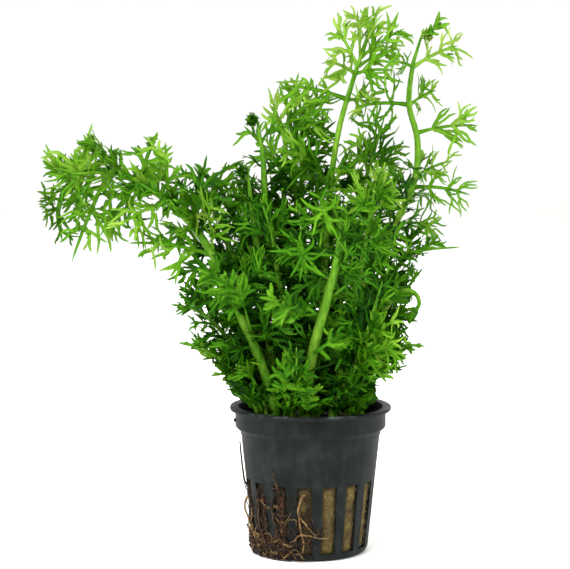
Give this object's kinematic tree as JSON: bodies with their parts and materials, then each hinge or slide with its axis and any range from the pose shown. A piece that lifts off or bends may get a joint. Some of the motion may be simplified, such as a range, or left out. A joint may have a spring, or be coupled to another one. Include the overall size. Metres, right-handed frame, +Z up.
{
  "type": "water sprite plant",
  "caption": "Water sprite aquarium fern with finely divided fronds, growing in a rock wool plug in a small slotted round plastic pot.",
  "frame": {"origin": "middle of the flat underside of the pot", "axes": "+Z up, out of the pot along the stems; -Y is the front, which the picture shows; +X to the right as seen from the front"},
  "size_m": [0.147, 0.0761, 0.185],
  "materials": {
    "pot_plastic": "moulded dark slate-green polypropylene, satin",
    "rock_wool": "wet, matted olive-ochre mineral fibre",
    "root": "thin brown and tan rootlets, matt",
    "leaf": "fresh bright green frond, thin and slightly translucent, softly glossy"
  },
  "bodies": {
    "root": {"pot": "pot_plastic", "rock_wool": "rock_wool", "root_tan": "root", "root_left_edge": "root", "root_left_loop": "root", "root_left_upper": "root", "root_middle_upper": "root", "root_streak": "root", "frond_arching_left": "leaf", "frond_front_middle": "leaf", "frond_tall_middle": "leaf", "frond_tall_right": "leaf", "frond_upper_left": "leaf", "frond_upper_right": "leaf", "frond_upper_middle": "leaf", "young_frond_tall": "leaf", "young_frond_short": "leaf", "frond_left_high": "leaf", "frond_left_middle": "leaf", "frond_left_low": "leaf", "frond_rim_left": "leaf", "frond_rim_front": "leaf", "frond_front_right": "leaf", "frond_rim_right": "leaf", "frond_right_low": "leaf", "frond_right_curled": "leaf", "frond_right_middle": "leaf", "frond_middle_right": "leaf", "frond_middle_left": "leaf", "frond_back_left": "leaf", "frond_back_middle": "leaf", "frond_back_right": "leaf", "frond_back_low_left": "leaf", "frond_back_low_middle": "leaf", "frond_back_low_right": "leaf"}
  },
  "joints": []
}
